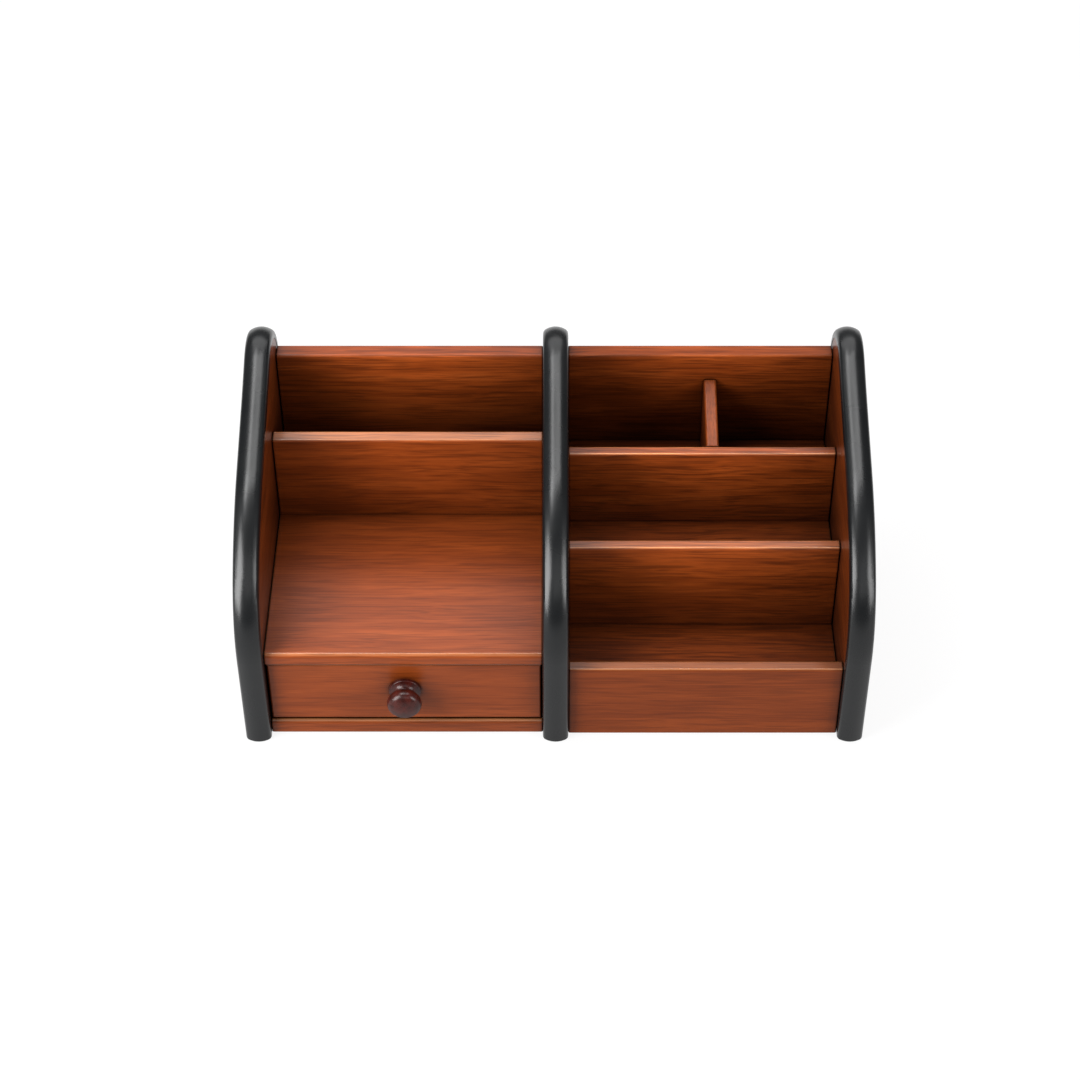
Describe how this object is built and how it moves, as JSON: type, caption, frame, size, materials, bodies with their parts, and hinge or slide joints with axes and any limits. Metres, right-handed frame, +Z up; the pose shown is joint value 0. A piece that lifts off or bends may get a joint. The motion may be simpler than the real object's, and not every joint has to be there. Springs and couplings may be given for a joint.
{
  "type": "desktop drawer organizer",
  "caption": "Wooden desktop organizer with bays between black-edged curved uprights, a drawer with a turned knob, a shelf and stepped letter and pen compartments.",
  "frame": {"origin": "centre of the footprint of the uprights, on the surface the organizer stands on", "axes": "+X to the right as seen from the front, +Y to the back, +Z up"},
  "size_m": [0.33, 0.1838, 0.1587],
  "materials": {
    "red_brown_veneer": "satin red-brown wood veneer",
    "black_moulding": "satin black",
    "dark_turned_wood": "glossy dark mahogany",
    "pale_drawer_wood": "plain unfinished wood",
    "zinc_steel": "zinc plated"
  },
  "bodies": {
    "carcass": {"left_side_panel": "red_brown_veneer", "centre_panel": "red_brown_veneer", "right_side_panel": "red_brown_veneer", "left_edge_moulding": "black_moulding", "centre_edge_moulding": "black_moulding", "right_edge_moulding": "black_moulding", "left_base_board": "red_brown_veneer", "drawer_shelf": "red_brown_veneer", "left_divider": "red_brown_veneer", "left_back_panel": "red_brown_veneer", "right_front_panel": "red_brown_veneer", "right_base_board": "red_brown_veneer", "front_floor": "red_brown_veneer", "front_divider": "red_brown_veneer", "middle_floor": "red_brown_veneer", "rear_divider": "red_brown_veneer", "rear_floor": "red_brown_veneer", "right_back_panel": "red_brown_veneer", "pen_divider": "red_brown_veneer"},
    "drawer": {"drawer_front": "red_brown_veneer", "drawer_left_side": "pale_drawer_wood", "drawer_right_side": "pale_drawer_wood", "drawer_back": "pale_drawer_wood", "drawer_bottom": "pale_drawer_wood", "drawer_brads": "zinc_steel", "drawer_knob": "dark_turned_wood", "knob_screw": "zinc_steel", "knob_washer": "zinc_steel"}
  },
  "joints": [
    {"name": "drawer_slide", "type": "slide", "parent": "carcass", "child": "drawer", "axis": [0, -1, 0], "range_m": [0, 0.115]}
  ]
}
